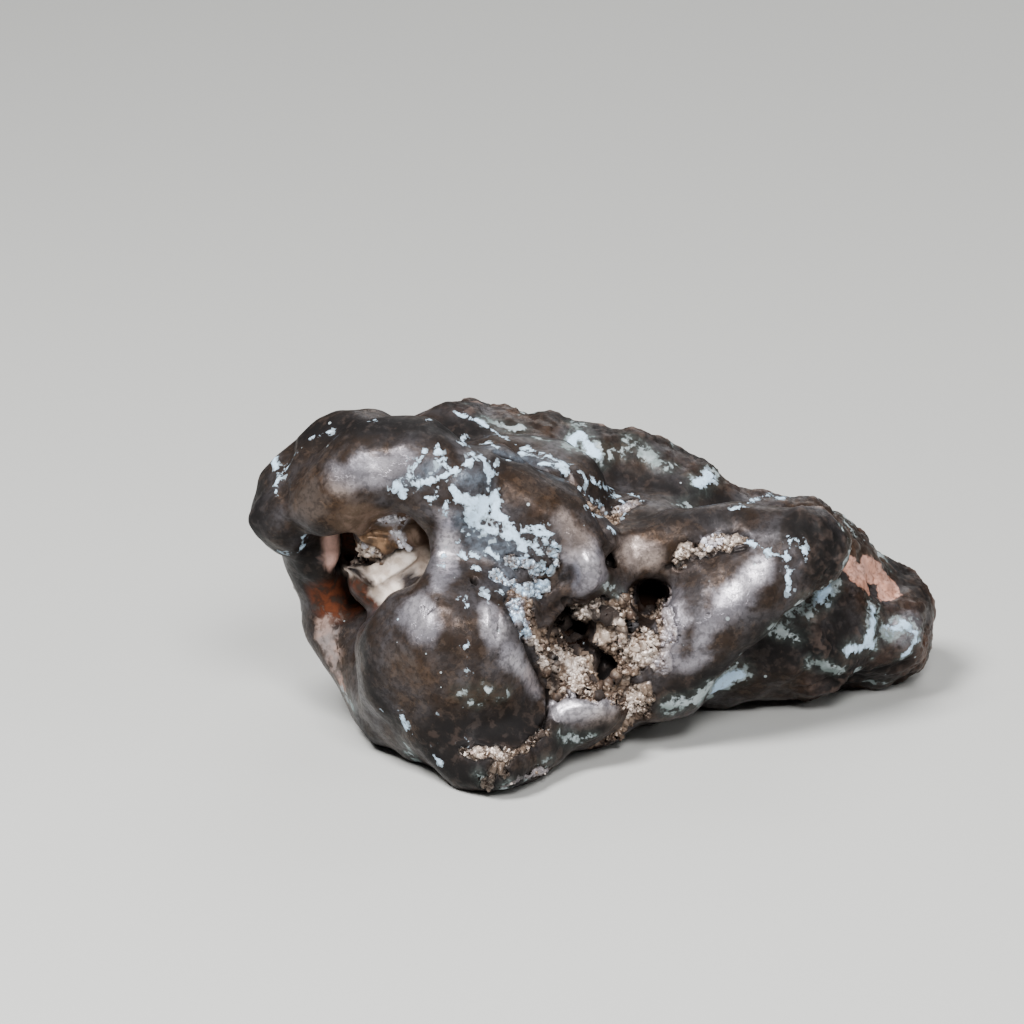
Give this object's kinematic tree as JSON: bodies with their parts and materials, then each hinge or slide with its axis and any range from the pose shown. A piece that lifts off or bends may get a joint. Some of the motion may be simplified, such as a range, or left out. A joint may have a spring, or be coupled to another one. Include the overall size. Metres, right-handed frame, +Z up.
{
  "type": "native copper nugget",
  "caption": "One solid lump of native copper in thick folded rolls, with a hollow under a curled arm, a pitted saddle, a spur pointing right and worn feet to rest on.",
  "frame": {"origin": "middle of the footprint, on the surface that the nugget stands on", "axes": "+X to the right of the show side, along the length; +Y to the back; +Z up"},
  "size_m": [0.0662, 0.0498, 0.0324],
  "materials": {
    "copper": "native copper under a brown-grey satin patina, with pale blue-white mineral crust in its creases"
  },
  "bodies": {
    "root": {"nugget": "copper"}
  },
  "joints": []
}
